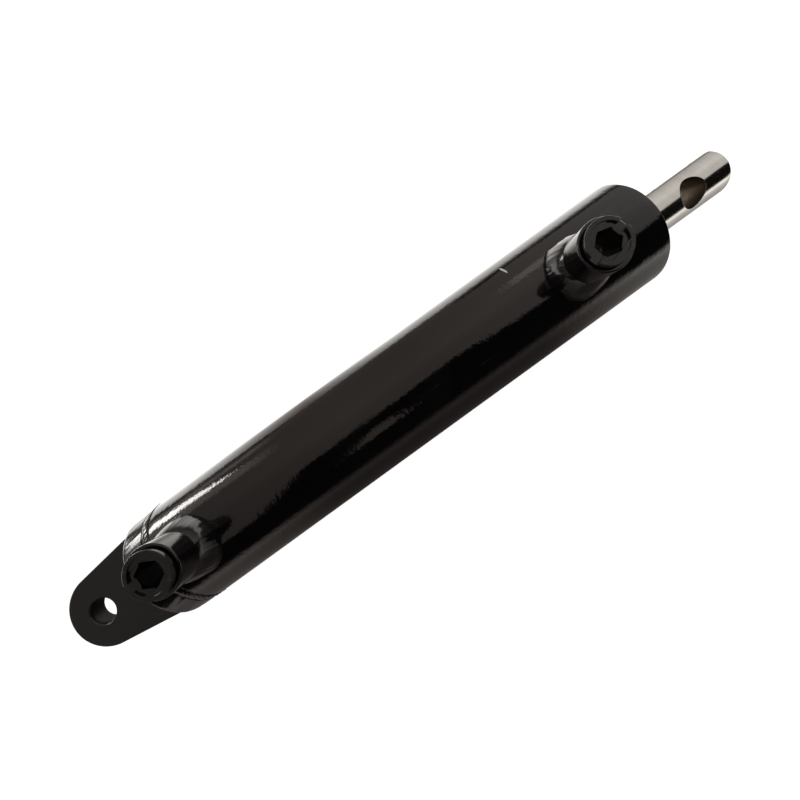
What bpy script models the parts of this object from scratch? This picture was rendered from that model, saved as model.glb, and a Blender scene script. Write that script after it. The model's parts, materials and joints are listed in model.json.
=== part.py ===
"""Double-acting hydraulic cylinder with a welded lug plate, two plugged ports and a cross-drilled rod.

The cylinder lies along X. The origin is the centre of the lug's pin hole, the rod comes out towards +X,
and both ports point to +Z. Lengths below are in millimetres; meshes are made in metres.
The rod is drawn fully in.
"""

import math

import bmesh
import bpy
from mathutils import Vector

MM = 0.001
ASSEMBLY = "hydraulic_cylinder"

# Driving sizes
BARREL_OD = 60.0
BORE = 50.0
ROD_OD = 25.0
STROKE = 200.0

# Gap between pieces that touch or nearly touch
GAP = 0.3

# Stations along X
TUBE_REAR = 60.8
TUBE_FRONT = 354.8
CAP_REAR = 43.8
CAP_INNER = 62.0
PISTON_REAR = 76.6
PISTON_FRONT = 104.0
GLAND_REAR = PISTON_FRONT + STROKE + 1.0
GLAND_FRONT = TUBE_FRONT - 0.8
GLAND_SHOULDER = 348.6
ROD_TIP = 416.6
ROD_PIN = 392.4

# End cap and its weld
CAP_RIM_RADIUS = 29.6
CAP_RIM_LENGTH = 11.7
CAP_CONE_END = 13.3
CAP_WELD_CROWN = 30.2

# Grooves along X, from rear to front
WEAR_GROOVES = {"rear": (85.5, 88.7), "front": (98.3, 101.5)}
PISTON_SEAL_GROOVE = (91.0, 96.2)
PISTON_BORE_GROOVE = (92.4, 95.0)
GLAND_SEAL_GROOVE = (321.0, 326.0)
ROD_GUIDE_GROOVE = (319.0, 329.0)
ROD_SEAL_GROOVE = (333.5, 339.5)
WIPER_GROOVE_REAR = 349.5
GLAND_NOSE_END = 316.0

# Groove bottoms
WEAR_BOTTOM = 23.0
PISTON_SEAL_BOTTOM = 20.6
PISTON_BORE_BOTTOM = 11.2
GLAND_SEAL_BOTTOM = 21.5
ROD_GUIDE_BOTTOM = 14.8
ROD_SEAL_BOTTOM = 17.0
WIPER_BOTTOM = 17.2

# Lug plate
LUG_THICKNESS = 10.0
LUG_RADIUS = 20.7
LUG_ARC_X = 2.1
LUG_TAPER = math.radians(8.4)
LUG_HOLE = 14.4
LUG_EDGE_BEVEL = 0.6
LUG_GROOVE_LENGTH = 8.2
LUG_GROOVE_DEPTH = 3.5

# Rod end
ROD_HOLE = 15.5
ROD_HOLE_TILT = math.radians(17.5)

# Ports, which stand on the barrel's upper side
PORT_STATIONS = {"cap": 76.3, "head": 306.5}
PORT_DRILLING = 10.0
BOSS_OD = 23.8
BOSS_BORE = 15.4
BOSS_TOP = 52.9
BOSS_MOUTH = 18.8
BOSS_MOUTH_DEPTH = 1.3
PORT_WELD_TOE = 15.8
PORT_WELD_TOP = 41.0

# Screw plugs
PLUG_FLANGE = 20.8
PLUG_TOP = 55.9
PLUG_UNDERSIDE = 53.65
PLUG_SHANK = 14.6
PLUG_TIP = 43.5
PLUG_RIM = 2.0
PLUG_RIM_HEIGHT = 0.5
PLUG_SOCKET = 11.0
PLUG_SOCKET_FLOOR = 47.5
PLUG_SLOT_WIDTH = 11.8
PLUG_SLOT_FLOOR = 54.8
PLUG_NOTCH_WIDTH = 4.0
PLUG_NOTCH_FLOOR = 54.25
PLUG_TURN = {"cap": 0.0, "head": math.radians(17.0)}
PLUG_SEAL_SECTION = 1.5

# Facets round a circle
OUTER_STEPS = 48
ROD_STEPS = 40
PORT_STEPS = 32
INNER_STEPS = 24
SMOOTH_ANGLE = math.radians(35.0)


def clear_scene():
    for obj in list(bpy.data.objects):
        bpy.data.objects.remove(obj, do_unlink=True)


def new_collection(name):
    collection = bpy.data.collections.new(name)
    bpy.context.scene.collection.children.link(collection)
    return collection


clear_scene()
PARTS = new_collection(ASSEMBLY)
CUTTERS = new_collection("cutters")


# Materials


def material(name, colour, roughness, metallic=0.0):
    made = bpy.data.materials.new(name)
    made.use_nodes = True
    shader = made.node_tree.nodes["Principled BSDF"]
    shader.inputs["Base Color"].default_value = (*colour, 1.0)
    shader.inputs["Roughness"].default_value = roughness
    shader.inputs["Metallic"].default_value = metallic
    return made


BLACK_PAINT = material("black_paint", (0.012, 0.011, 0.010), 0.25)
WELD_PAINT = material("painted_weld", (0.014, 0.013, 0.012), 0.3)
LUG_PAINT = material("lug_paint", (0.018, 0.016, 0.016), 0.4)
PLUG_PLASTIC = material("black_plastic", (0.016, 0.016, 0.017), 0.4)
CHROME = material("hard_chrome", (0.55, 0.53, 0.50), 0.2, 1.0)
STEEL = material("machined_steel", (0.48, 0.47, 0.45), 0.35, 1.0)
CAST_IRON = material("ductile_iron", (0.22, 0.21, 0.20), 0.5, 1.0)
ZINC = material("zinc_plate", (0.62, 0.62, 0.60), 0.3, 1.0)
SPRING_STEEL = material("spring_steel", (0.10, 0.10, 0.11), 0.35, 1.0)
RUBBER = material("black_rubber", (0.02, 0.02, 0.02), 0.6)
POLYURETHANE = material("blue_polyurethane", (0.03, 0.10, 0.28), 0.4)
PTFE_BRONZE = material("bronze_filled_ptfe", (0.30, 0.20, 0.10), 0.5)


# Modelling helpers


def add_object(name, mesh, finish, collection=None):
    obj = bpy.data.objects.new(name, mesh)
    if finish is not None:
        mesh.materials.append(finish)
    (collection or PARTS).objects.link(obj)
    return obj


def bake(obj):
    """Replaces the object's mesh by the result of its modifiers, shaded smooth with sharp corners."""
    graph = bpy.context.evaluated_depsgraph_get()
    mesh = bpy.data.meshes.new_from_object(obj.evaluated_get(graph), depsgraph=graph)
    obj.modifiers.clear()
    obj.data = mesh
    mesh.shade_smooth()
    mesh.set_sharp_from_angle(angle=SMOOTH_ANGLE)


def turned(name, profile, steps, finish, closed=True, collection=None):
    """A turned piece about its own Z. The profile's (height, radius) points run up the outside first."""
    points = [(radius * MM, 0.0, height * MM) for height, radius in reversed(profile)]
    edges = [(index, index + 1) for index in range(len(points) - 1)]
    if closed:
        edges.append((len(points) - 1, 0))
    mesh = bpy.data.meshes.new(name)
    mesh.from_pydata(points, edges, [])
    obj = add_object(name, mesh, finish, collection)
    screw = obj.modifiers.new("turn", "SCREW")
    screw.axis = "Z"
    screw.angle = math.tau
    screw.steps = steps
    screw.render_steps = steps
    screw.use_merge_vertices = True
    screw.merge_threshold = 0.00001
    bake(obj)
    return obj


def along_x(obj):
    """Turns a piece made about Z so that its heights are stations along X."""
    obj.rotation_euler = (0.0, math.pi / 2, 0.0)
    return obj


def axial(name, profile, steps, finish, closed=True):
    return along_x(turned(name, profile, steps, finish, closed))


def flat_ring(name, low, high, inner, outer, steps, finish):
    profile = [(low, outer), (high, outer), (high, inner), (low, inner)]
    return turned(name, profile, steps, finish)


def axial_ring(name, low, high, inner, outer, finish):
    return along_x(flat_ring(name, low, high, inner, outer, INNER_STEPS, finish))


def round_ring(name, height, radius, section, finish):
    """An O-ring, with its centre line at the radius and the height."""
    sides = 6
    profile = []
    for side in range(sides):
        angle = math.tau * side / sides
        rise = section / 2 * math.sin(angle)
        profile.append((height - rise, radius - section / 2 * math.cos(angle)))
    return turned(name, profile, INNER_STEPS, finish)


def rod_cutter(name, radius, low, high, steps, location, rotation=(0.0, 0.0, 0.0)):
    """A round cutter along its own Z, between two heights measured from its location."""
    profile = [(low, 0.0), (low, radius), (high, radius), (high, 0.0)]
    cutter = turned(name, profile, steps, None, closed=False, collection=CUTTERS)
    cutter.location = Vector(location) * MM
    cutter.rotation_euler = rotation
    return as_cutter(cutter)


def box_cutter(name, size, location, rotation=(0.0, 0.0, 0.0)):
    mesh = bpy.data.meshes.new(name)
    cage = bmesh.new()
    bmesh.ops.create_cube(cage, size=1.0)
    bmesh.ops.scale(cage, vec=Vector(size) * MM, verts=cage.verts)
    cage.to_mesh(mesh)
    cage.free()
    cutter = add_object(name, mesh, None, CUTTERS)
    cutter.location = Vector(location) * MM
    cutter.rotation_euler = rotation
    return as_cutter(cutter)


def as_cutter(obj):
    obj.display_type = "WIRE"
    obj.hide_render = True
    return obj


def cut(obj, cutter):
    boolean = obj.modifiers.new(cutter.name, "BOOLEAN")
    boolean.operation = "DIFFERENCE"
    boolean.solver = "EXACT"
    boolean.object = cutter


def plate(name, outline, thickness, finish):
    """A flat plate in the XY plane, half its thickness above and below, as a clean mesh."""
    curve = bpy.data.curves.new(name, "CURVE")
    curve.dimensions = "2D"
    curve.fill_mode = "BOTH"
    curve.extrude = thickness / 2 * MM
    spline = curve.splines.new("POLY")
    spline.points.add(len(outline) - 1)
    for point, (x, y) in zip(spline.points, outline):
        point.co = (x * MM, y * MM, 0.0, 1.0)
    spline.use_cyclic_u = True
    guide = bpy.data.objects.new(name + "_outline", curve)
    PARTS.objects.link(guide)
    graph = bpy.context.evaluated_depsgraph_get()
    mesh = bpy.data.meshes.new_from_object(guide.evaluated_get(graph), depsgraph=graph)
    bpy.data.objects.remove(guide)
    weld = bmesh.new()
    weld.from_mesh(mesh)
    bmesh.ops.remove_doubles(weld, verts=weld.verts, dist=0.00001)
    bmesh.ops.recalc_face_normals(weld, faces=weld.faces)
    weld.to_mesh(mesh)
    weld.free()
    mesh.materials.clear()
    return add_object(name, mesh, finish)


def bevel(obj, width, segments=1):
    modifier = obj.modifiers.new("edges", "BEVEL")
    modifier.width = width * MM
    modifier.segments = segments
    modifier.limit_method = "ANGLE"
    modifier.angle_limit = math.radians(40.0)


def assembly_empty(name, location):
    """An empty on a joint's axis, which holds the pieces that move together."""
    empty = bpy.data.objects.new(name, None)
    empty.location = Vector(location) * MM
    empty.empty_display_size = 0.02
    PARTS.objects.link(empty)
    return empty


def hold(empty, pieces):
    bpy.context.view_layer.update()
    for piece in pieces:
        piece.parent = empty
        piece.matrix_parent_inverse = empty.matrix_world.inverted()


# Barrel


def barrel_tube():
    outer = BARREL_OD / 2
    inner = BORE / 2
    bevel_depth = 3.0
    root = 1.2
    groove_rear = GLAND_SHOULDER + 0.4
    groove_front = groove_rear + 2.0
    groove_radius = inner + 1.2
    profile = [
        (TUBE_REAR, outer),
        (TUBE_FRONT - 0.4, outer),
        (TUBE_FRONT, outer - 0.4),
        (TUBE_FRONT, inner + 0.5),
        (TUBE_FRONT - 0.5, inner),
        (groove_front, inner),
        (groove_front, groove_radius),
        (groove_rear, groove_radius),
        (groove_rear, inner),
        (TUBE_REAR - bevel_depth, inner),
        (TUBE_REAR - bevel_depth, inner + root),
    ]
    tube = axial("barrel_tube", profile, OUTER_STEPS, BLACK_PAINT)
    for side, station in PORT_STATIONS.items():
        drilling = rod_cutter(
            f"{side}_port_drilling", PORT_DRILLING / 2, 10.0, 40.0, INNER_STEPS, (station, 0.0, 0.0)
        )
        cut(tube, drilling)
    return tube


def end_cap():
    spigot = BORE / 2 - GAP
    rear_chamfer = 1.6
    front_chamfer = 0.8
    profile = [
        (CAP_REAR, 0.0),
        (CAP_REAR, CAP_RIM_RADIUS - rear_chamfer),
        (CAP_REAR + rear_chamfer, CAP_RIM_RADIUS),
        (CAP_REAR + CAP_RIM_LENGTH, CAP_RIM_RADIUS),
        (CAP_REAR + CAP_CONE_END, spigot),
        (CAP_INNER - front_chamfer, spigot),
        (CAP_INNER, spigot - front_chamfer),
        (CAP_INNER, 0.0),
    ]
    return axial("end_cap", profile, OUTER_STEPS, BLACK_PAINT, closed=False)


def end_cap_weld():
    """The bead that fills the V between the cap and the tube's bevelled end."""
    root = BORE / 2 + 0.5
    root_width = 0.3
    toe = BARREL_OD / 2 + 0.1
    shoulder = 2.0
    profile = [
        (CAP_REAR + CAP_RIM_LENGTH + GAP, CAP_RIM_RADIUS + GAP),
        (CAP_REAR + CAP_RIM_LENGTH + shoulder, CAP_WELD_CROWN),
        (TUBE_REAR - shoulder - 0.2, CAP_WELD_CROWN),
        (TUBE_REAR - GAP, toe),
        (CAP_REAR + CAP_CONE_END + 0.1 + root_width, root + 0.8),
        (CAP_REAR + CAP_CONE_END + 0.1, root),
    ]
    return axial("end_cap_weld", profile, OUTER_STEPS, WELD_PAINT)


# Lug


def lug_outline():
    """A round nose about its own centre, and straight sides that spread to the cap."""
    arc_steps = 24
    first = math.pi / 2 + LUG_TAPER
    sweep = math.pi - 2 * LUG_TAPER
    points = []
    for step in range(arc_steps + 1):
        angle = first + sweep * step / arc_steps
        x = LUG_ARC_X + LUG_RADIUS * math.cos(angle)
        points.append((x, LUG_RADIUS * math.sin(angle)))
    root = CAP_REAR - GAP
    start_x, start_y = points[0]
    half_root = start_y + (root - start_x) * math.tan(LUG_TAPER)
    return points + [(root, -half_root), (root, half_root)]


def groove_cutter(name, side):
    """Slopes the plate's root down towards the cap, on its upper side (1) or its lower side (-1)."""
    slope = math.atan2(LUG_GROOVE_DEPTH, LUG_GROOVE_LENGTH)
    height = 6.0
    middle_x = CAP_REAR - GAP - LUG_GROOVE_LENGTH / 2
    middle_z = (LUG_THICKNESS - LUG_GROOVE_DEPTH) / 2
    place = (
        middle_x + height / 2 * math.sin(slope),
        0.0,
        side * (middle_z + height / 2 * math.cos(slope)),
    )
    size = (LUG_GROOVE_LENGTH * 1.6, BARREL_OD + 4.0, height)
    return box_cutter(name, size, place, (0.0, side * slope, 0.0))


def lug_plate():
    lug = plate("lug_plate", lug_outline(), LUG_THICKNESS, LUG_PAINT)
    bevel(lug, LUG_EDGE_BEVEL)
    bake(lug)
    cut(lug, rod_cutter("lug_hole", LUG_HOLE / 2, -10.0, 10.0, ROD_STEPS, (0.0, 0.0, 0.0)))
    cut(lug, groove_cutter("lug_groove_upper", 1))
    cut(lug, groove_cutter("lug_groove_lower", -1))
    return lug


def lug_weld(name, side):
    """The bead in the plate's groove, above the plate (side 1) or below it (side -1)."""
    leg = 8.0
    half_length = 23.5
    toe = 0.6
    root_x = CAP_REAR - GAP
    toe_x = root_x - LUG_GROOVE_LENGTH + 0.2
    surface = LUG_THICKNESS / 2 + GAP
    section = [
        (root_x, surface - LUG_GROOVE_DEPTH + 0.1),
        (root_x, surface + leg),
        (root_x - toe, surface + leg),
        (root_x - leg * 0.42, surface + leg * 0.42),
        (toe_x, surface + toe),
        (toe_x, surface),
    ]
    bead = plate(name, section, 2 * half_length, WELD_PAINT)
    bead.rotation_euler = (side * math.pi / 2, 0.0, 0.0)
    bake(bead)
    return bead


# Ports


def port_boss(side, station):
    outer = BOSS_OD / 2
    bore = BOSS_BORE / 2
    mouth = BOSS_MOUTH / 2
    profile = [
        (20.0, outer),
        (BOSS_TOP - 0.5, outer),
        (BOSS_TOP, outer - 0.5),
        (BOSS_TOP, mouth),
        (BOSS_TOP - BOSS_MOUTH_DEPTH, mouth),
        (BOSS_TOP - BOSS_MOUTH_DEPTH, bore),
        (20.0, bore),
    ]
    boss = turned(f"{side}_port_boss", profile, PORT_STEPS, BLACK_PAINT)
    boss.location = (station * MM, 0.0, 0.0)
    return boss


def barrel_clearance():
    """A cutter a gap larger than the barrel, which shapes the saddle under each boss."""
    cutter = rod_cutter(
        "barrel_clearance",
        BARREL_OD / 2 + GAP,
        PORT_STATIONS["cap"] - 30.0,
        PORT_STATIONS["head"] + 30.0,
        64,
        (0.0, 0.0, 0.0),
    )
    return along_x(cutter)


def port_weld(side, station):
    """A bead between the boss and the barrel. Its foot follows the barrel's curve all the way round."""
    inner = BOSS_OD / 2 + GAP
    saddle = BARREL_OD / 2 + GAP
    toe_height = 0.6
    # Each crown point is a share of the way out to the toe, and of the way down to it.
    crown = [(0.0, 0.0), (0.4, 0.28), (0.8, 0.68), (1.0, 1.0)]
    mesh = bpy.data.meshes.new(f"{side}_port_weld")
    shell = bmesh.new()
    loops = []
    for step in range(PORT_STEPS):
        angle = math.tau * step / PORT_STEPS
        across = math.sin(angle)

        def ground(radius, across=across):
            return math.sqrt(saddle**2 - (radius * across) ** 2)

        toe = ground(PORT_WELD_TOE) + toe_height
        section = [(inner, ground(inner))]
        for out, down in crown:
            radius = inner + out * (PORT_WELD_TOE - inner)
            section.append((radius, PORT_WELD_TOP + down * (toe - PORT_WELD_TOP)))
        section.append((PORT_WELD_TOE, ground(PORT_WELD_TOE)))
        ring = []
        for radius, height in section:
            point = Vector((radius * math.cos(angle), radius * across, height)) * MM
            ring.append(shell.verts.new(point))
        loops.append(ring)
    for ring, following in zip(loops, loops[1:] + loops[:1]):
        for index in range(len(ring)):
            after = (index + 1) % len(ring)
            shell.faces.new((ring[index], following[index], following[after], ring[after]))
    bmesh.ops.recalc_face_normals(shell, faces=shell.faces)
    shell.to_mesh(mesh)
    shell.free()
    weld = add_object(f"{side}_port_weld", mesh, WELD_PAINT)
    bake(weld)
    weld.location = (station * MM, 0.0, 0.0)
    return weld


def port_plug(side, station):
    """A screw plug: a raised rim, a wide slot inside it, a notch across everything, and a hexagon socket."""
    flange = PLUG_FLANGE / 2
    shank = PLUG_SHANK / 2
    face = PLUG_TOP - PLUG_RIM_HEIGHT
    profile = [
        (PLUG_TIP, 0.0),
        (PLUG_TIP, shank - 0.8),
        (PLUG_TIP + 0.8, shank),
        (PLUG_UNDERSIDE, shank),
        (PLUG_UNDERSIDE, flange),
        (PLUG_TOP - 0.4, flange),
        (PLUG_TOP, flange - 0.4),
        (PLUG_TOP, flange - PLUG_RIM),
        (face, flange - PLUG_RIM),
        (face, 0.0),
    ]
    plug = turned(f"{side}_port_plug", profile, PORT_STEPS, PLUG_PLASTIC, closed=False)
    plug.location = (station * MM, 0.0, 0.0)
    turn = (0.0, 0.0, PLUG_TURN[side])
    above = 4.0
    socket = rod_cutter(
        f"{side}_plug_socket",
        PLUG_SOCKET / math.sqrt(3),
        PLUG_SOCKET_FLOOR,
        PLUG_TOP + above,
        6,
        (station, 0.0, 0.0),
        turn,
    )
    cut(plug, socket)
    across = PLUG_FLANGE + 2.0
    place = (station, 0.0, PLUG_NOTCH_FLOOR + above / 2)
    notch_size = (across, PLUG_NOTCH_WIDTH, above)
    cut(plug, box_cutter(f"{side}_plug_notch", notch_size, place, turn))
    inside_rim = rod_cutter(
        f"{side}_plug_slot",
        flange - PLUG_RIM,
        PLUG_SLOT_FLOOR,
        PLUG_TOP + above,
        PORT_STEPS,
        (station, 0.0, 0.0),
    )
    slab_size = (across, PLUG_SLOT_WIDTH, 3 * above)
    slab = box_cutter(f"{side}_plug_slab", slab_size, (station, 0.0, PLUG_TOP), turn)
    keep = inside_rim.modifiers.new("slab", "BOOLEAN")
    keep.operation = "INTERSECT"
    keep.solver = "EXACT"
    keep.object = slab
    cut(plug, inside_rim)
    return plug


def plug_seal(side, station):
    height = BOSS_TOP - BOSS_MOUTH_DEPTH + GAP + PLUG_SEAL_SECTION / 2
    radius = PLUG_SHANK / 2 + GAP + PLUG_SEAL_SECTION / 2
    ring = round_ring(f"{side}_plug_seal", height, radius, PLUG_SEAL_SECTION, RUBBER)
    ring.location = (station * MM, 0.0, 0.0)
    return ring


def port(side, station, saddle):
    boss = port_boss(side, station)
    cut(boss, saddle)
    port_weld(side, station)
    plug = port_plug(side, station)
    seal = plug_seal(side, station)
    hold(assembly_empty(f"{side}_plug_axis", (station, 0.0, BOSS_TOP)), [plug, seal])


# Rod and piston


def rod():
    thread = 8.0
    spigot = 9.0
    radius = ROD_OD / 2
    thread_end = 64.0
    profile = [
        (thread_end, 0.0),
        (thread_end, thread - 1.0),
        (thread_end + 1.0, thread),
        (PISTON_REAR - GAP, thread),
        (PISTON_REAR - GAP, spigot),
        (PISTON_FRONT + GAP, spigot),
        (PISTON_FRONT + GAP, radius),
        (ROD_TIP - 0.4, radius),
        (ROD_TIP, radius - 0.4),
        (ROD_TIP, 0.0),
    ]
    shaft = axial("rod", profile, ROD_STEPS, CHROME, closed=False)
    hole = rod_cutter(
        "rod_hole",
        ROD_HOLE / 2,
        -20.0,
        20.0,
        ROD_STEPS,
        (ROD_PIN, 0.0, 0.0),
        (ROD_HOLE_TILT, 0.0, 0.0),
    )
    cut(shaft, hole)
    return shaft


def groove(rear, front, bottom, land):
    """Four profile points of a groove, from its rear edge to its front edge."""
    return [(rear, land), (rear, bottom), (front, bottom), (front, land)]


def piston():
    """Two wear-ring grooves, a seal groove between them, and a step that leaves the cap port open."""
    land = BORE / 2 - GAP
    step = 22.0
    step_length = 6.4
    chamfer = 0.6
    bore = 9.3
    bore_rear, bore_front = PISTON_BORE_GROOVE
    profile = [
        (PISTON_REAR, step - chamfer),
        (PISTON_REAR + chamfer, step),
        (PISTON_REAR + step_length, step),
        (PISTON_REAR + step_length, land),
        *groove(*WEAR_GROOVES["rear"], WEAR_BOTTOM, land),
        *groove(*PISTON_SEAL_GROOVE, PISTON_SEAL_BOTTOM, land),
        *groove(*WEAR_GROOVES["front"], WEAR_BOTTOM, land),
        (PISTON_FRONT - chamfer, land),
        (PISTON_FRONT, land - chamfer),
        (PISTON_FRONT, bore),
        *groove(bore_front, bore_rear, PISTON_BORE_BOTTOM, bore),
        (PISTON_REAR, bore),
    ]
    return axial("piston", profile, INNER_STEPS, CAST_IRON)


def piston_nut():
    across_flats = 24.0
    low = 65.5
    high = PISTON_REAR - GAP
    corner = across_flats / math.sqrt(3)
    bore = 8.3
    profile = [(low, 0.0), (low, corner), (high, corner), (high, 0.0)]
    nut = axial("piston_nut", profile, 6, ZINC, closed=False)
    nut.data.shade_flat()
    thread = along_x(
        rod_cutter("nut_bore", bore, low - 5.0, high + 5.0, INNER_STEPS, (0.0, 0.0, 0.0))
    )
    cut(nut, thread)
    return nut


def piston_bore_seal():
    rear, front = PISTON_BORE_GROOVE
    section = 1.6
    return along_x(round_ring("piston_bore_seal", (rear + front) / 2, 10.1, section, RUBBER))


def ring_in_groove(name, rear, front, inner, outer, finish):
    """A flat ring with a gap to both ends of its groove."""
    return axial_ring(name, rear + GAP, front - GAP, inner, outer, finish)


def piston_rings():
    outer = BORE / 2 - 0.2
    ring_in_groove(
        "piston_seal", *PISTON_SEAL_GROOVE, PISTON_SEAL_BOTTOM + GAP, outer, POLYURETHANE
    )
    for end, (rear, front) in WEAR_GROOVES.items():
        ring_in_groove(f"piston_wear_ring_{end}", rear, front, WEAR_BOTTOM + GAP, outer, PTFE_BRONZE)


# Gland


def gland():
    """The rod's bearing, with a thin nose that leaves the head port open."""
    land = BORE / 2 - GAP
    bore = ROD_OD / 2 + GAP
    nose = 20.0
    hub = 20.5
    chamfer = 0.6
    profile = [
        (GLAND_REAR, nose - chamfer),
        (GLAND_REAR + chamfer, nose),
        (GLAND_NOSE_END, nose),
        (GLAND_NOSE_END, land),
        *groove(*GLAND_SEAL_GROOVE, GLAND_SEAL_BOTTOM, land),
        (GLAND_SHOULDER, land),
        (GLAND_SHOULDER, hub),
        (GLAND_FRONT - chamfer, hub),
        (GLAND_FRONT, hub - chamfer),
        (GLAND_FRONT, WIPER_BOTTOM),
        (WIPER_GROOVE_REAR, WIPER_BOTTOM),
        (WIPER_GROOVE_REAR, bore),
        *groove(*reversed(ROD_SEAL_GROOVE), ROD_SEAL_BOTTOM, bore),
        *groove(*reversed(ROD_GUIDE_GROOVE), ROD_GUIDE_BOTTOM, bore),
        (GLAND_REAR, bore),
    ]
    return axial("gland", profile, INNER_STEPS, STEEL)


def gland_seals():
    """An O-ring with a support ring in front of it, and the guide and the seal that run on the rod."""
    lip = ROD_OD / 2 + GAP
    rear, front = GLAND_SEAL_GROOVE
    section = 2.8
    support = 1.3
    along_x(round_ring("gland_seal", rear + GAP + section / 2, 23.2, section, RUBBER))
    support_outer = BORE / 2 - GAP
    support_rear = front - GAP - support
    axial_ring(
        "gland_backup_ring", support_rear, front - GAP, GLAND_SEAL_BOTTOM + GAP, support_outer, PTFE_BRONZE
    )
    ring_in_groove("rod_guide_ring", *ROD_GUIDE_GROOVE, lip, ROD_GUIDE_BOTTOM - GAP, PTFE_BRONZE)
    ring_in_groove("rod_seal", *ROD_SEAL_GROOVE, lip, ROD_SEAL_BOTTOM - GAP, POLYURETHANE)


def wiper_seal():
    """A scraper whose narrow lip stands out of the gland."""
    lip = ROD_OD / 2 + GAP
    rear = WIPER_GROOVE_REAR + GAP
    outer = WIPER_BOTTOM - GAP
    body_end = GLAND_FRONT + 0.4
    lip_end = body_end + 2.0
    profile = [
        (rear, outer),
        (body_end, outer),
        (body_end, lip + 1.8),
        (lip_end, lip + 0.8),
        (lip_end, lip),
        (rear, lip),
    ]
    return axial("wiper_seal", profile, INNER_STEPS, POLYURETHANE)


def retaining_ring():
    """A snap ring in the tube's groove, open at the bottom."""
    low = GLAND_SHOULDER + 0.7
    high = low + 1.4
    ring = axial_ring("retaining_ring", low, high, 21.6, BORE / 2 + 0.9, SPRING_STEEL)
    cut(ring, box_cutter("ring_gap", (10.0, 9.0, 12.0), ((low + high) / 2, 0.0, -24.0)))
    return ring


def main():
    barrel_tube()
    end_cap()
    end_cap_weld()
    lug_plate()
    lug_weld("lug_weld_upper", 1)
    lug_weld("lug_weld_lower", -1)
    saddle = barrel_clearance()
    for side, station in PORT_STATIONS.items():
        port(side, station, saddle)
    moving = [rod(), piston(), piston_nut(), piston_bore_seal()]
    hold(assembly_empty("rod_axis", (0.0, 0.0, 0.0)), moving)
    piston_rings()
    gland()
    gland_seals()
    wiper_seal()
    retaining_ring()


main()
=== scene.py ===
"""The looks of the hydraulic cylinder: fine meshes, materials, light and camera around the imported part.

Lengths are in millimetres until a mesh is made; X runs from the lug's hole to the rod's end and both
ports point to +Z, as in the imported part.
"""

import json
import math

import bmesh
import bpy
import numpy as np
from mathutils import Euler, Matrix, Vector

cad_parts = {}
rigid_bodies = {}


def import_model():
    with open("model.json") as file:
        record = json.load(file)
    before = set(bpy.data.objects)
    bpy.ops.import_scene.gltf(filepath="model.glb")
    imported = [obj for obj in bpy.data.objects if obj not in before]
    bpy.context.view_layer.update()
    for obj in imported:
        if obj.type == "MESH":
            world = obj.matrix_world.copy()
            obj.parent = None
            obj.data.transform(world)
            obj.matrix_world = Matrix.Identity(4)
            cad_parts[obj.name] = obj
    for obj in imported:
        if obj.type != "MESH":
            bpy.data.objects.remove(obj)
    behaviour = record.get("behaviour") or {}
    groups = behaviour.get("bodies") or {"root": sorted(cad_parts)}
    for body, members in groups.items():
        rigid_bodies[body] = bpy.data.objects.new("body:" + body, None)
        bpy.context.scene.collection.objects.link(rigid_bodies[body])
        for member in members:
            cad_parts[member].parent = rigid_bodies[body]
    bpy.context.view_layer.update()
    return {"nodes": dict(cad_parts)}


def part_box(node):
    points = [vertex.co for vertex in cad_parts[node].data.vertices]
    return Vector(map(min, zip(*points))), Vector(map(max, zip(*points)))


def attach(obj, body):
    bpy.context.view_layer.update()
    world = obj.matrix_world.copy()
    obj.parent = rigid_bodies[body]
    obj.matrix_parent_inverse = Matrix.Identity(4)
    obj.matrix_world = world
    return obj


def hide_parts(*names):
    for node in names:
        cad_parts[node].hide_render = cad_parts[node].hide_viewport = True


for startup in list(bpy.data.objects):
    bpy.data.objects.remove(startup, do_unlink=True)

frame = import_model()

MM = 0.001
TAU = math.tau
MERGE = 0.000002
SHARP = math.radians(38.0)

# Barrel, cap and rod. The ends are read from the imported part, and the other sizes agree with it.
TUBE_LOW, TUBE_HIGH = (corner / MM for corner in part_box("barrel_tube"))
TUBE_REAR = 60.8
TUBE_FRONT = TUBE_HIGH.x
BARREL_RADIUS = TUBE_HIGH.z
TUBE_BEVEL_FOOT = 26.2
BORE_RADIUS = 25.0
LAND_RADIUS = BORE_RADIUS - 0.3
SNAP_GROOVE = (349.0, 351.0)
SNAP_GROOVE_RADIUS = 26.2
DRILLING_RADIUS = 5.0
CAP_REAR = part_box("end_cap")[0].x / MM
CAP_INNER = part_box("end_cap")[1].x / MM
CAP_RADIUS = 29.6
CAP_RIM_END = 55.5
CAP_CONE_END = 57.1
ROD_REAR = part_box("rod")[0].x / MM
ROD_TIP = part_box("rod")[1].x / MM
ROD_RADIUS = 12.5
PORTS = {side: sum(corner.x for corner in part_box(f"{side}_port_boss")) / 2 / MM for side in ("cap", "head")}

# The one chip in the barrel's paint, a short line that runs round the barrel on its +Y side. Its near-white
# colour is the metal in the chip and a painted highlight on it
CHIP_HIGHLIGHT_X = 280.6
CHIP_HIGHLIGHT_ANGLE = math.radians(43.8)
CHIP_HIGHLIGHT_HALF_SIZES = (0.55, 4.1, 2.0)

# Lug
LUG_THICKNESS = 10.0
LUG_NOSE_X = 2.1
LUG_NOSE_RADIUS = 20.7
LUG_TAPER = math.radians(8.4)
LUG_HOLE_RADIUS = 7.2

# Rod end
ROD_HOLE_X = 392.4
ROD_HOLE_RADIUS = 7.75
ROD_HOLE_TILT = math.radians(17.5)

# Ports
BOSS_RADIUS = 11.9
BOSS_TOP = 52.9
BOSS_BORE = 7.7
THREAD_PITCH = 1.337
THREAD_DEPTH = 0.6
WELD_TOE = 15.7
WELD_TOP = 41.0

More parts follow.
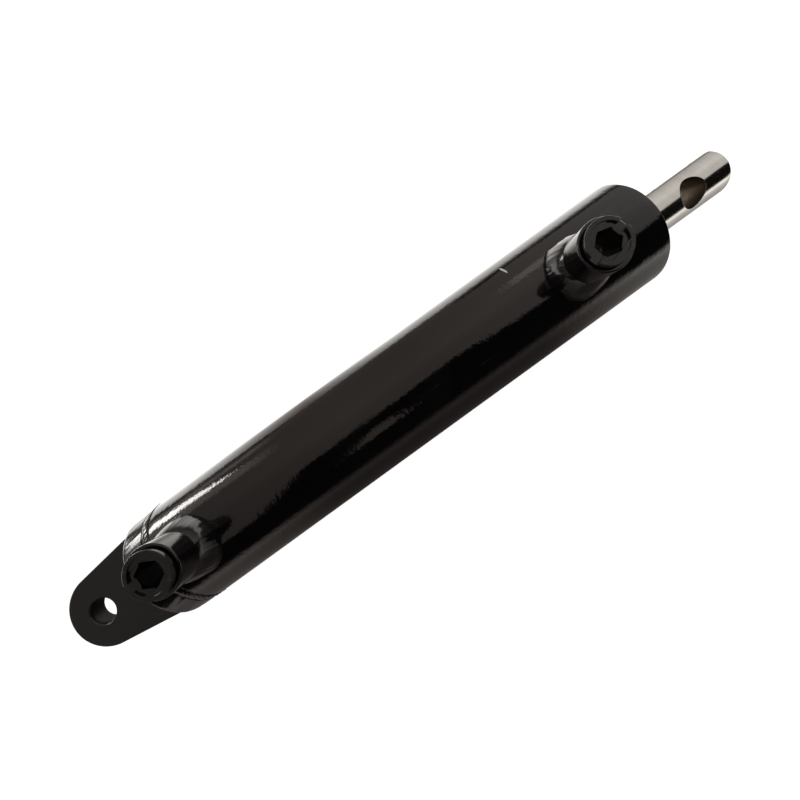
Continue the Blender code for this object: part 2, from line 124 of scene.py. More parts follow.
# Plugs
PLUG_TOP = 55.9
PLUG_UNDERSIDE = 53.65
PLUG_TIP = 43.5
PLUG_RADIUS = 10.4
PLUG_SHANK = 7.0
PLUG_RIM = 2.0
PLUG_FACE = PLUG_TOP - 0.5
PLUG_SOCKET_FLATS = 11.0
PLUG_SOCKET_FLOOR = 47.5
PLUG_SLOT_WIDTH = 11.8
PLUG_SLOT_FLOOR = 54.8
PLUG_NOTCH_WIDTH = 4.0
PLUG_NOTCH_FLOOR = 54.25
PLUG_TURN = {"cap": 0.0, "head": math.radians(17.0)}


# Node trees


def join(tree, socket, value):
    """Links a socket to an output, or sets its value."""
    if isinstance(value, bpy.types.NodeSocket):
        tree.links.new(value, socket)
    else:
        socket.default_value = value


def add(tree, kind, inputs, **settings):
    node = tree.nodes.new(kind)
    for key, value in settings.items():
        setattr(node, key, value)
    for key, value in inputs.items():
        join(tree, node.inputs[key], value)
    return node


def calc(tree, operation, *values):
    node = add(tree, "ShaderNodeMath", dict(enumerate(values)), operation=operation)
    return node.outputs[0]


def span(tree, value, low, high, to_low=0.0, to_high=1.0, smooth=True):
    """The value's way from low to high, as a number from to_low to to_high."""
    inputs = {"Value": value, "From Min": low, "From Max": high, "To Min": to_low, "To Max": to_high}
    kind = "SMOOTHSTEP" if smooth else "LINEAR"
    return add(tree, "ShaderNodeMapRange", inputs, interpolation_type=kind).outputs["Result"]


def ramp(tree, value, stops):
    """A colour ramp from (place, colour or grey) stops."""
    node = add(tree, "ShaderNodeValToRGB", {"Fac": value})
    elements = node.color_ramp.elements
    while len(elements) < len(stops):
        elements.new(0.5)
    for element, (place, colour) in zip(elements, sorted(stops, key=lambda stop: stop[0])):
        element.position = place
        element.color = (colour, colour, colour, 1.0) if isinstance(colour, float) else (*colour, 1.0)
    return node.outputs["Color"]


def blend_colours(tree, share, first, second):
    node = add(tree, "ShaderNodeMix", {}, data_type="RGBA", blend_type="MIX")
    join(tree, node.inputs[0], share)
    for socket, colour in ((node.inputs[6], first), (node.inputs[7], second)):
        join(tree, socket, colour if isinstance(colour, bpy.types.NodeSocket) else (*colour, 1.0))
    return node.outputs[2]


def times(tree, *values):
    """The product of the values."""
    product = values[0]
    for value in values[1:]:
        product = calc(tree, "MULTIPLY", product, value)
    return product


def place(tree, stretch=(1.0, 1.0, 1.0)):
    """The point on the piece, in metres, stretched along its axes."""
    point = add(tree, "ShaderNodeTexCoord", {}).outputs["Object"]
    node = add(tree, "ShaderNodeMapping", {"Vector": point, "Scale": stretch})
    return node.outputs["Vector"]


def noise(tree, point, size, detail=2.0, roughness=0.5, distortion=0.0):
    """Noise whose features are about the size given, in millimetres."""
    inputs = {
        "Vector": point,
        "Scale": 1.0 / (size * MM),
        "Detail": detail,
        "Roughness": roughness,
        "Distortion": distortion,
    }
    return add(tree, "ShaderNodeTexNoise", inputs).outputs["Fac"]


def bump(tree, height, depth, normal=None):
    """A bump as deep as given, in millimetres."""
    inputs = {"Height": height, "Distance": depth * MM, "Strength": 1.0}
    if normal is not None:
        inputs["Normal"] = normal
    return add(tree, "ShaderNodeBump", inputs).outputs["Normal"]


def new_material(name):
    made = bpy.data.materials.new(name)
    made.use_nodes = True
    return made, made.node_tree, made.node_tree.nodes["Principled BSDF"]


# Materials


def painted(name, colour, gloss, peel, lump, pebble=0.0, specks=0.0, specular=0.5):
    """Sprayed black enamel: orange peel, slow sags, dust that dulls it in places, thin paint on edges.

    The depths of the peel, the sags (lump), the pebbling and the grit (specks) are in millimetres.
    """
    made, tree, shader = new_material(name)
    point = place(tree)
    cloud = noise(tree, point, 26.0, 4.0, 0.6, 0.4)
    fine = noise(tree, point, 1.1, 3.0, 0.6)
    sag = noise(tree, place(tree, (0.35, 1.0, 1.0)), 7.0, 3.0, 0.5, 0.3)
    dust = span(tree, noise(tree, point, 0.5, 2.0, 0.7), 0.62, 0.78)
    cloudy = span(tree, cloud, 0.35, 0.7)
    warm = tuple(channel * 1.5 for channel in colour)
    base = blend_colours(tree, cloudy, colour, warm)
    dusty = calc(tree, "MULTIPLY", dust, calc(tree, "MULTIPLY", cloudy, 0.25))
    base = blend_colours(tree, dusty, base, (0.03, 0.027, 0.024))
    edge = span(tree, add(tree, "ShaderNodeNewGeometry", {}).outputs["Pointiness"], 0.56, 0.66)
    worn = calc(tree, "MULTIPLY", edge, span(tree, noise(tree, point, 2.2, 4.0, 0.7), 0.5, 0.62))
    base = blend_colours(tree, calc(tree, "MULTIPLY", worn, 0.35), base, (0.16, 0.15, 0.14))
    join(tree, shader.inputs["Base Color"], base)
    rough = span(tree, cloud, 0.3, 0.75, gloss * 0.8, gloss * 1.25)
    rough = calc(tree, "ADD", rough, calc(tree, "MULTIPLY", dust, 0.12))
    join(tree, shader.inputs["Roughness"], calc(tree, "ADD", rough, calc(tree, "MULTIPLY", worn, 0.2)))
    shader.inputs["Specular IOR Level"].default_value = specular
    normal = bump(tree, sag, lump)
    if pebble:
        normal = bump(tree, noise(tree, point, 2.4, 2.0, 0.5, 0.2), pebble, normal)
    normal = bump(tree, fine, peel, normal)
    if specks:
        grit = span(tree, noise(tree, point, 0.9, 1.0, 0.5), 0.66, 0.8)
        normal = bump(tree, grit, specks, normal)
    join(tree, shader.inputs["Normal"], normal)
    return made


def paint_chip_with_highlight(made):
    """Colours a chip in the paint near white: the metal in the chip and a painted highlight on it."""
    tree = made.node_tree
    shader = tree.nodes["Principled BSDF"]
    point = add(tree, "ShaderNodeTexCoord", {}).outputs["Object"]
    centre = Vector((CHIP_HIGHLIGHT_X, BARREL_RADIUS * math.sin(CHIP_HIGHLIGHT_ANGLE), BARREL_RADIUS * math.cos(CHIP_HIGHLIGHT_ANGLE)))
    settings = {
        "Vector": point,
        "Location": centre * MM,
        "Rotation": (-CHIP_HIGHLIGHT_ANGLE, 0.0, 0.0),
        "Scale": Vector(CHIP_HIGHLIGHT_HALF_SIZES) * MM,
    }
    inside = add(tree, "ShaderNodeMapping", settings, vector_type="TEXTURE").outputs["Vector"]
    apart = add(tree, "ShaderNodeVectorMath", {0: inside}, operation="LENGTH").outputs["Value"]
    ragged = calc(tree, "ADD", apart, span(tree, noise(tree, point, 0.6), 0.3, 0.7, -0.25, 0.25))
    chip_and_highlight = span(tree, ragged, 1.0, 0.8)
    painted_colour = shader.inputs["Base Color"].links[0].from_socket
    # Near white in the chip: the metal there and a painted highlight on it
    join(tree, shader.inputs["Base Color"], blend_colours(tree, chip_and_highlight, painted_colour, (0.85, 0.85, 0.84)))


def moulded(name, colour, rough, grain, specular=0.5, sink=0.0):
    """Moulded polymer or rubber: fine grain, faint flow marks, sink marks, scuffs along the edges."""
    made, tree, shader = new_material(name)
    point = place(tree)
    flow = noise(tree, point, 5.0, 4.0, 0.6, 0.8)
    scuff = noise(tree, place(tree, (1.0, 0.2, 1.0)), 0.6, 3.0, 0.7)
    lighter = tuple(min(1.0, channel * 1.7 + 0.004) for channel in colour)
    base = blend_colours(tree, span(tree, flow, 0.35, 0.7), colour, lighter)
    edge = span(tree, add(tree, "ShaderNodeNewGeometry", {}).outputs["Pointiness"], 0.55, 0.64)
    pale = tuple(min(1.0, channel * 2.0 + 0.03) for channel in colour)
    base = blend_colours(tree, calc(tree, "MULTIPLY", edge, 0.5), base, pale)
    join(tree, shader.inputs["Base Color"], base)
    marks = span(tree, scuff, 0.4, 0.7, rough * 0.85, rough * 1.2)
    join(tree, shader.inputs["Roughness"], marks)
    shader.inputs["Specular IOR Level"].default_value = specular
    normal = bump(tree, flow, grain * 1.5)
    if sink:
        normal = bump(tree, noise(tree, point, 4.5, 1.0), sink, normal)
    join(tree, shader.inputs["Normal"], bump(tree, noise(tree, point, 0.25, 2.0, 0.6), grain, normal))
    return made


def metal(name, colour, tint, rough, marks, mark_depth, stain=0.3):
    """Bare metal with tool marks, which run the way the stretch makes them, and faint stains."""
    made, tree, shader = new_material(name)
    point = place(tree)
    cloud = noise(tree, point, 9.0, 5.0, 0.6, 0.6)
    lines = noise(tree, place(tree, marks), 1.0, 3.0, 0.65)
    base = blend_colours(tree, span(tree, cloud, 0.35, 0.75), colour, tint)
    streaks = span(tree, lines, 0.45, 0.7, 0.0, stain)
    base = blend_colours(tree, streaks, base, tuple(channel * 0.6 for channel in colour))
    join(tree, shader.inputs["Base Color"], base)
    shader.inputs["Metallic"].default_value = 1.0
    smudge = span(tree, cloud, 0.3, 0.75, rough * 0.8, rough * 1.3)
    join(tree, shader.inputs["Roughness"], smudge)
    normal = bump(tree, noise(tree, point, 3.5, 2.0, 0.5), mark_depth * 0.6)
    join(tree, shader.inputs["Normal"], bump(tree, lines, mark_depth, normal))
    return made


BLACK_PAINT = painted("black_paint", (0.0025, 0.0021, 0.0021), 0.09, 0.005, 0.04, 0.07)
paint_chip_with_highlight(BLACK_PAINT)
CAP_PAINT = painted("cap_paint", (0.003, 0.0026, 0.0026), 0.14, 0.005, 0.04, 0.06)
BOSS_PAINT = painted("boss_paint", (0.0025, 0.0021, 0.0021), 0.11, 0.005, 0.04, 0.05)
WELD_PAINT = painted("weld_paint", (0.003, 0.0026, 0.0026), 0.13, 0.005, 0.05, 0.02, 0.02)
LUG_PAINT = painted("lug_paint", (0.006, 0.0054, 0.0056), 0.44, 0.004, 0.02, 0.01)
# The lug's paint made darker and less shiny for the hole's wall: painted shade inside the hole
LUG_HOLE_SHADE_PAINT = painted("lug_hole_painted_shade", (0.003, 0.0026, 0.0026), 0.5, 0.004, 0.02, specular=0.1)
PLASTIC = moulded("plug_plastic", (0.0028, 0.0025, 0.0026), 0.13, 0.0015, 0.45, 0.30)
RUBBER = moulded("seal_rubber", (0.012, 0.012, 0.013), 0.55, 0.006)
POLYURETHANE = moulded("polyurethane", (0.02, 0.07, 0.22), 0.35, 0.004)
PTFE_BRONZE = moulded("ptfe_bronze", (0.26, 0.17, 0.08), 0.5, 0.006)
ROUND_THE_ROD = (1.0, 0.03, 0.03)
CHROME = metal("hard_chrome", (0.61, 0.605, 0.585), (0.55, 0.54, 0.52), 0.12, ROUND_THE_ROD, 0.0008, 0.15)
BORED = metal("bored_steel", (0.13, 0.10, 0.075), (0.075, 0.06, 0.045), 0.4, (0.05, 0.05, 1.0), 0.006)
TURNED = metal("machined_steel", (0.50, 0.49, 0.47), (0.42, 0.41, 0.40), 0.28, (1.0, 0.04, 0.04), 0.004)
IRON = metal("ductile_iron", (0.24, 0.23, 0.22), (0.17, 0.16, 0.16), 0.42, (1.0, 0.06, 0.06), 0.006)
ZINC = metal("zinc_plate", (0.62, 0.61, 0.58), (0.66, 0.62, 0.50), 0.3, (1.0, 1.0, 1.0), 0.003)
SPRING = metal("spring_steel", (0.07, 0.07, 0.08), (0.11, 0.10, 0.10), 0.34, (0.3, 1.0, 1.0), 0.003)


# Mesh making


def rounded(corners, closed, steps=4):
    """The profile's corners, (height, radius, rounding), each rounding drawn as a short curve."""
    points = []
    count = len(corners)
    for index, (height, radius, rounding) in enumerate(corners):
        corner = np.array((height, radius))
        ends = not closed and index in (0, count - 1)
        if ends or rounding == 0.0:
            points.append(corner)
            continue
        sides = []
        for other in (corners[index - 1], corners[(index + 1) % count]):
            way = np.array(other[:2]) - corner
            length = np.linalg.norm(way)
            sides.append(corner + way / length * min(rounding, length * 0.49))
        for step in range(steps + 1):
            share = step / steps
            first = sides[0] + (corner - sides[0]) * share
            second = corner + (sides[1] - corner) * share
            points.append(first + (second - first) * share)
    return points


def spaced(points, grain, closed):
    """The profile with no step longer than the grain."""
    made = []
    following = points[1:] + points[:1] if closed else points[1:]
    for start, end in zip(points, following):
        pieces = max(1, math.ceil(np.linalg.norm(end - start) / grain))
        made.extend(start + (end - start) * step / pieces for step in range(pieces))
    if not closed:
        made.append(points[-1])
    return np.array(made)


def groove(start, end, land, bottom, corner=0.2):
    """Profile corners of a groove from start to end, between a land and the groove's bottom."""
    return [(start, land, 0.1), (start, bottom, corner), (end, bottom, corner), (end, land, 0.1)]


def skin(rows, close_rows):
    """Points and quads of a grid whose columns close on themselves."""
    count, columns = rows.shape[:2]
    index = np.arange(count * columns).reshape(count, columns)
    if close_rows:
        index = np.vstack((index, index[:1]))
    after = np.roll(index, -1, axis=1)
    quads = np.stack((index[:-1], after[:-1], after[1:], index[1:]), axis=-1).reshape(-1, 4)
    return rows.reshape(-1, 3), quads


def mesh_object(name, parts, finishes):
    """One object from grids of (points, quads, material number), in millimetres."""
    points = np.concatenate([part[0] for part in parts]) * MM
    quads = []
    kinds = []
    start = 0
    for part_points, part_quads, kind in parts:
        quads.append(part_quads + start)
        kinds.extend([kind] * len(part_quads))
        start += len(part_points)
    mesh = bpy.data.meshes.new(name)
    mesh.from_pydata(points.tolist(), [], np.concatenate(quads).tolist())
    for finish in finishes:
        mesh.materials.append(finish)
    mesh.polygons.foreach_set("material_index", kinds)
    clean(mesh)
    made = bpy.data.objects.new(name, mesh)
    bpy.context.scene.collection.objects.link(made)
    return made


def clean(mesh):
    """Merges points that meet, drops faces without area, and shades the mesh smooth with sharp corners."""
    work = bmesh.new()
    work.from_mesh(mesh)
    bmesh.ops.remove_doubles(work, verts=work.verts, dist=MERGE)
    bmesh.ops.dissolve_degenerate(work, edges=work.edges, dist=MERGE / 2)
    bmesh.ops.recalc_face_normals(work, faces=work.faces)
    work.to_mesh(mesh)
    work.free()
    mesh.shade_smooth()
    mesh.set_sharp_from_angle(angle=SHARP)


def turned(name, corners, finish, closed=True, station=None, segments=128, grain=3.0, shape=None):
    """A turned piece along X, or along Z at a station on X. shape(height, radius, angle) bends it."""
    profile = spaced(rounded(corners, closed), grain, closed)
    angle = np.linspace(0.0, TAU, segments, endpoint=False)[None, :]
    height = np.repeat(profile[:, :1], segments, axis=1)
    radius = np.repeat(profile[:, 1:], segments, axis=1)
    if shape is not None:
        height, radius = shape(height, radius, angle)
    first = radius * np.cos(angle)
    second = radius * np.sin(angle)
    if station is None:
        rows = np.stack((height, -second, first), axis=-1)
    else:
        rows = np.stack((first + station, second, height), axis=-1)
    return mesh_object(name, [(*skin(rows, closed), 0)], [finish])


def cutter(name, radius, low, high, centre, turn=(0.0, 0.0, 0.0), sides=96, flats=None):
    """A round or many-sided cutter along its own Z, from low to high above its centre.

    flats is how far from the middle two flat sides stand, if it has any.
    """
    mesh = bpy.data.meshes.new(name)
    work = bmesh.new()
    bmesh.ops.create_cone(
        work,
        cap_ends=True,
        segments=sides,
        radius1=radius * MM,
        radius2=radius * MM,
        depth=(high - low) * MM,
    )
    if flats is not None:
        for vertex in work.verts:
            vertex.co.y = max(-flats * MM, min(flats * MM, vertex.co.y))
    bmesh.ops.translate(work, verts=work.verts, vec=(0.0, 0.0, (low + high) / 2 * MM))
    return place_cutter(name, mesh, work, centre, turn)


def box_cutter(name, size, centre, turn=(0.0, 0.0, 0.0)):
    mesh = bpy.data.meshes.new(name)
    work = bmesh.new()
    bmesh.ops.create_cube(work, size=1.0)
    bmesh.ops.scale(work, verts=work.verts, vec=Vector(size) * MM)
    return place_cutter(name, mesh, work, centre, turn)


def place_cutter(name, mesh, work, centre, turn):
    bmesh.ops.rotate(work, verts=work.verts, matrix=Euler(turn).to_matrix())
    bmesh.ops.translate(work, verts=work.verts, vec=Vector(centre) * MM)
    work.to_mesh(mesh)
    work.free()
    made = bpy.data.objects.new(name, mesh)
    bpy.context.scene.collection.objects.link(made)
    return made


def cut(target, cutters, edge=0.0):
    """Cuts the target, then rounds the new edges a little."""
    for tool in cutters:
        boolean = target.modifiers.new("cut", "BOOLEAN")
        boolean.operation = "DIFFERENCE"
        boolean.object = tool
    if edge:
        bevel = target.modifiers.new("edge", "BEVEL")
        bevel.width = edge * MM
        bevel.segments = 3
        bevel.limit_method = "ANGLE"
        bevel.angle_limit = math.radians(40.0)
    graph = bpy.context.evaluated_depsgraph_get()
    mesh = bpy.data.meshes.new_from_object(target.evaluated_get(graph), depsgraph=graph)
    target.modifiers.clear()
    target.data = mesh
    clean(mesh)
    for tool in cutters:
        bpy.data.objects.remove(tool, do_unlink=True)


def finished(piece, body, slot, *nodes):
    """The piece rides on its body and stands for the CAD nodes, which it hides. The slot is not used."""
    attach(piece, body)
    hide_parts(*nodes)
    return piece


def waves(angle, *terms):
    """A sum of (lobes, size, phase) waves round a circle."""
    return sum(size * np.sin(lobes * angle + phase) for lobes, size, phase in terms)


# Barrel


def barrel_tube():
    outer = BARREL_RADIUS
    corners = [
        (TUBE_REAR, outer, 0.3),
        (TUBE_FRONT, outer, 0.7),
        (TUBE_FRONT, BORE_RADIUS, 0.6),
        *groove(SNAP_GROOVE[1], SNAP_GROOVE[0], BORE_RADIUS, SNAP_GROOVE_RADIUS),
        (TUBE_LOW.x, BORE_RADIUS, 0.0),
        (TUBE_LOW.x, TUBE_BEVEL_FOOT, 0.0),
    ]

    def drawn(height, radius, angle):
        """The tube's skin is a few hundredths out of round, and never quite straight."""
        outside = radius > outer - 0.1
        ripple = waves(angle, (3, 0.012, 0.4), (11, 0.004, height * 0.05), (19, 0.0025, 1.0))
        ripple = ripple + 0.006 * np.sin(height / 9.0 + 2.0 * np.sin(angle * 2))
        return height, radius - outside * (0.02 + ripple)

    tube = turned("barrel_tube_skin", corners, BLACK_PAINT, segments=256, shape=drawn)
    cut(tube, [cutter("drilling", DRILLING_RADIUS, 10.0, 40.0, (x, 0.0, 0.0)) for x in PORTS.values()])
    finished(tube, "barrel", "black_paint", "barrel_tube")


def end_cap():
    corners = [
        (CAP_REAR, 0.0, 0.0),
        (CAP_REAR, CAP_RADIUS, 1.9),
        (CAP_RIM_END + 0.4, CAP_RADIUS + 0.15, 0.3),
        (CAP_CONE_END, LAND_RADIUS, 0.3),
        (CAP_INNER, LAND_RADIUS, 0.9),
        (CAP_INNER, 0.0, 0.0),
    ]

    def wrinkled(height, radius, angle):
        """Long shallow wrinkles run along the rim."""
        outside = np.clip((radius - CAP_RADIUS + 2.0) / 2.0, 0.0, 1.0)
        fade = np.clip((height - CAP_REAR) / 3.0, 0.0, 1.0)
        skew = angle + (height - CAP_REAR) * 0.012
        folds = waves(skew, (47, 0.035, 0.0), (29, 0.045, 1.3), (13, 0.05, 0.6), (5, 0.06, 2.0))
        return height, radius + outside * fade * folds * (1.0 + 0.4 * np.sin(angle))

    cap = turned("end_cap_disc", corners, CAP_PAINT, False, segments=384, grain=1.0, shape=wrinkled)
    finished(cap, "barrel", "black_paint", "end_cap")


def end_cap_weld():
    """The bead that closes the joint between cap and tube, wrinkled, with a seam beside the tube."""
    corners = [
        (CAP_RIM_END + 0.4, 29.6, 0.1),
        (CAP_RIM_END + 1.3, 29.95, 0.5),
        (CAP_RIM_END + 2.6, 30.4, 1.0),
        (TUBE_REAR - 0.6, 30.2, 0.8),
        (TUBE_REAR + 0.25, 29.98, 0.1),
        (TUBE_REAR + 0.1, 29.3, 0.1),
        (TUBE_REAR - 3.2, 26.3, 0.1),
        (CAP_CONE_END + 0.1, 25.5, 0.1),
    ]
    seam_depth = 0.35
    seam_half_width = 0.25
    seam_back = 0.35

    def laid(height, radius, angle):
        outside = np.clip((radius - 28.2) / 1.0, 0.0, 1.0)
        skew = angle + (height - TUBE_REAR) * 0.035
        crimp = waves(skew, (83, 0.05, 0.0), (57, 0.045, 1.3), (31, 0.05, 0.6), (7, 0.07, 2.0))
        crimp = crimp * (1.0 + 0.45 * np.sin(angle))
        seam = seam_depth * np.exp(-(((height - TUBE_REAR + seam_back) / seam_half_width) ** 2))
        crest = height + outside * waves(angle, (9, 0.12, 0.5), (23, 0.07, 1.1))
        return crest, radius + outside * (crimp - 0.06 - seam)

    bead = turned("end_cap_bead", corners, WELD_PAINT, segments=512, grain=0.35, shape=laid)
    finished(bead, "barrel", "weld_paint", "end_cap_weld")


# Lug


def lug_ring(inset):
    """The plate's outline moved inwards, as points round it."""
    count_nose = 96
    count_side = 30
    count_root = 50
    radius = LUG_NOSE_RADIUS - inset
    root = CAP_REAR - 0.3 - inset
    first = math.pi / 2 + LUG_TAPER
    swing = first + (math.pi - 2 * LUG_TAPER) * np.linspace(0.0, 1.0, count_nose)
    nose = np.stack((LUG_NOSE_X + radius * np.cos(swing), radius * np.sin(swing)), axis=-1)
    half = nose[0, 1] + (root - nose[0, 0]) * math.tan(LUG_TAPER)
    share = np.linspace(0.0, 1.0, count_side + 1)[1:, None]
    lower = nose[-1] + (np.array((root, -half)) - nose[-1]) * share
    along = np.linspace(0.0, 1.0, count_root + 1)[1:, None]
    base = np.array((root, -half)) + np.array((0.0, 2 * half)) * along
    upper = base[-1] + (nose[0] - base[-1]) * share[:-1]
    return np.concatenate((nose, lower, base, upper))


def lug_plate():
    half = LUG_THICKNESS / 2
    edge = 0.7
    chamfer = 0.55
    outline = lug_ring(0.0)
    toward = np.arctan2(outline[:, 1], outline[:, 0])
    spoke = np.stack((np.cos(toward), np.sin(toward)), axis=-1)

    def ring(flat, height):
        return np.column_stack((flat, np.full(len(flat), height)))

    rows = []
    for side in (1, -1):
        depths = (3.5, 2.0, chamfer + 0.1)
        half_rows = [ring(spoke * LUG_HOLE_RADIUS, side * (half - depth)) for depth in depths]
        for share in (0.25, 0.5, 0.75, 1.0):
            radius = LUG_HOLE_RADIUS + chamfer * share
            half_rows.append(ring(spoke * radius, side * (half - chamfer * (1 - share))))
        inner = half_rows[-1][:, :2]
        outer = lug_ring(edge)
        for share in np.linspace(0.06, 1.0, 14):
            half_rows.append(ring(inner + (outer - inner) * share, side * half))
        for turn in np.linspace(0.0, math.pi / 2, 6)[1:]:
            inset = edge * (1 - math.sin(turn))
            half_rows.append(ring(lug_ring(inset), side * (half - edge * (1 - math.cos(turn)))))
        rows.extend(half_rows if side == 1 else half_rows[::-1])
    plate = mesh_object("lug_plate_eye", [(*skin(np.array(rows), True), 0)], [LUG_PAINT, LUG_HOLE_SHADE_PAINT])
    # Faces of the hole's wall take the darker paint, painted shade inside the hole
    for polygon in plate.data.polygons:
        if math.hypot(polygon.center.x, polygon.center.y) < (LUG_HOLE_RADIUS + 0.03) * MM:
            polygon.material_index = 1
    finished(plate, "barrel", "lug_paint", "lug_plate")


def lug_weld(node, side):
    """A fillet across the plate's root, laid in overlapping scales, which tapers off at its ends."""
    length = 23.6
    leg = 7.4
    root = CAP_REAR + 0.2
    surface = LUG_THICKNESS / 2 - 0.25
    along = np.linspace(-1.0, 1.0, 260)[:, None]
    turn = np.linspace(0.0, 1.0, 26)[None, :]
    across = length * along
    taper = np.sqrt(np.clip(1.0 - np.abs(along) ** 14, 0.02, 1.0))
    wander = 0.25 * np.sin(across / 3.1 + 0.6) + 0.15 * np.sin(across / 1.3)
    scale = 0.5 + 0.5 * np.cos((across + 1.4 * np.sin(turn * math.pi)) * TAU / 1.9 + 0.3 * np.sin(across))
    size = (leg + wander) * taper
    bulge = np.sin(turn * math.pi) * (0.9 + 0.28 * scale) * taper
    out = size * turn
    up = size * (1.0 - turn)
    x = root - out - bulge * 0.7
    z = surface + up + bulge * 0.7
    crown = np.stack((x, np.broadcast_to(across, x.shape), z * side), axis=-1)
    foot_height = np.full_like(across, side * (surface - 0.6))
    foot = np.stack((np.full_like(across, root), across, foot_height), axis=-1)
    section = np.concatenate((crown, foot), axis=1)
    points, quads = skin(section, False)
    rows, columns = section.shape[:2]
    ends = []
    for start in (0, (rows - 1) * columns):
        ends.extend([start, start + step, start + step + 1] for step in range(1, columns - 1))
    bead = weld_mesh(node + "_bead", points, quads.tolist() + ends)
    finished(bead, "barrel", "weld_paint", node)


def weld_mesh(name, points, faces):
    mesh = bpy.data.meshes.new(name)
    mesh.from_pydata((points * MM).tolist(), [], faces)
    mesh.materials.append(WELD_PAINT)
    clean(mesh)
    made = bpy.data.objects.new(name, mesh)
    bpy.context.scene.collection.objects.link(made)
    return made


# Ports


def ground(radius, angle):
    """Height of the barrel's skin under a point round a port."""
    return np.sqrt(BARREL_RADIUS**2 - (radius * np.sin(angle)) ** 2)


def thread(height, angle):
    """How far out a right-hand thread stands, from 0 in its root to 1 on its crest."""
    way = (height / THREAD_PITCH - angle / TAU) % 1.0
    return np.clip(np.abs(way - 0.5) * 2.6 - 0.15, 0.0, 1.0)


def port_boss(side, station):
    mouth = 9.4
    ledge = BOSS_TOP - 1.3
    foot = 20.0
    straight = 46.0
    thread_start = 33.0
    corners = [
        (foot, BOSS_RADIUS, 0.0),
        (BOSS_TOP, BOSS_RADIUS, 0.7),
        (BOSS_TOP, mouth, 0.25),
        (ledge, mouth, 0.2),
        (ledge, BOSS_BORE, 0.3),
        (foot, BOSS_BORE, 0.0),
    ]

    def seated(height, radius, angle):
        """The foot follows the barrel, and the bore is threaded."""
        base = ground(radius, angle) - 0.5
        low = base + (height - foot) * (straight - base) / (straight - foot)
        height = np.where(height < straight, low, height)
        bored = (radius < BOSS_BORE + 0.01) & (height > thread_start) & (height < ledge - 0.4)
        turned_out = waves(angle, (2, 0.02, 0.7), (5, 0.012, 0.2))
        skin_wave = np.where(radius > BOSS_RADIUS - 0.05, turned_out, 0.0)
        return height, radius + bored * THREAD_DEPTH * (1.0 - thread(height, angle)) + skin_wave

    name = f"{side}_port_boss"
    boss = turned(name + "_body", corners, BOSS_PAINT, True, station, 160, 0.22, seated)
    finished(boss, "barrel", "black_paint", name)


def port_weld(side, station):
    """A pillow-shaped bead round the boss, with a thin wandering lip where it meets the barrel."""
    inner = BOSS_RADIUS - 0.4
    steps = 30
    phase = station
    angle = np.linspace(0.0, TAU, 420, endpoint=False)[None, :]
    share = np.linspace(0.0, 1.0, steps)[:, None]
    toe = WELD_TOE + waves(angle, (5, 0.12, phase), (13, 0.10, 1.0), (29, 0.06, 2.0))
    top = WELD_TOP + waves(angle, (4, 0.20, phase + 1.0), (11, 0.06, 0.0))
    radius = inner + (toe - inner) * share**0.9
    floor = ground(toe, angle) + 0.15
    crown = top + (floor - top) * (0.55 * share + 0.45 * share**3)
    skew = angle + 0.10 * np.sin(share * math.pi)
    lobes = waves(skew, (38, 0.07, phase), (23, 0.05, 1.0), (61, 0.025, 2.0))
    crown = crown + np.sin(share * math.pi) * lobes * 0.16
    lip_height = 0.36
    crown = crown + lip_height * np.exp(-(((share - 0.93) / 0.05) ** 2))
    lip = ground(radius[-1:] + 0.15, angle) - 0.5
    skirt = np.stack((radius[-1:] + 0.15, lip), axis=-1)
    under = np.stack((np.full_like(lip, inner), ground(inner, angle) - 0.5), axis=-1)
    profile = np.concatenate((np.stack((radius, crown), axis=-1), skirt, under))
    rows = np.stack(
        (
            station + profile[..., 0] * np.cos(angle),
            profile[..., 0] * np.sin(angle),
            profile[..., 1],
        ),
        axis=-1,
    )
    name = f"{side}_port_weld"
    bead = mesh_object(name + "_bead", [(*skin(rows, True), 0)], [WELD_PAINT])
    finished(bead, "barrel", "weld_paint", name)


def port_plug(side, station):
    """A screw plug: raised rim, a wide slot inside it, a notch through both, a hexagon socket, a thread."""
    inside_rim = PLUG_RADIUS - PLUG_RIM
    socket = PLUG_SOCKET_FLATS / math.sqrt(3)
    corners = [
        (PLUG_TIP, 0.0, 0.0),
        (PLUG_TIP, PLUG_SHANK - 0.2, 0.6),
        (PLUG_UNDERSIDE, PLUG_SHANK, 0.2),
        (PLUG_UNDERSIDE, PLUG_RADIUS, 0.25),
        (PLUG_TOP, PLUG_RADIUS, 0.4),
        (PLUG_TOP, inside_rim, 0.2),
        (PLUG_FACE, inside_rim, 0.1),
        (PLUG_FACE, 0.0, 0.0),
    ]

    def cut_thread(height, radius, angle):
        threaded = (radius > PLUG_SHANK - 0.25) & (radius < PLUG_SHANK + 0.01)
        threaded &= (height > PLUG_TIP + 0.9) & (height < PLUG_UNDERSIDE - 1.0)
        return height, radius + threaded * THREAD_DEPTH * thread(height, angle)

    name = f"{side}_port_plug"
    plug = turned(name + "_body", corners, PLASTIC, False, station, 160, 0.22, cut_thread)
    turn = (0.0, 0.0, PLUG_TURN[side])
    centre = (station, 0.0, 0.0)
    above = 4.0
    high = PLUG_TOP + above
    notch_centre = (station, 0.0, PLUG_NOTCH_FLOOR + above / 2)
    tools = [
        cutter("socket", socket, PLUG_SOCKET_FLOOR, high, centre, turn, 6),
        cutter("slot", inside_rim, PLUG_SLOT_FLOOR, high, centre, turn, flats=PLUG_SLOT_WIDTH / 2),
        box_cutter("notch", (24.0, PLUG_NOTCH_WIDTH, above), notch_centre, turn),
    ]
    cut(plug, tools, 0.28)
    finished(plug, f"{side}_plug", "plug_plastic", name)


def seal_ring(node, radius, section, middle, body, slot, finish, station=None):
    """A ring of round section."""
    turn = np.linspace(0.0, TAU, 20, endpoint=False)
    corners = [(middle - section / 2 * math.sin(a), radius - section / 2 * math.cos(a), 0.0) for a in turn]
    ring = turned(node + "_ring", corners, finish, station=station, grain=5.0)
    finished(ring, body, slot, node)


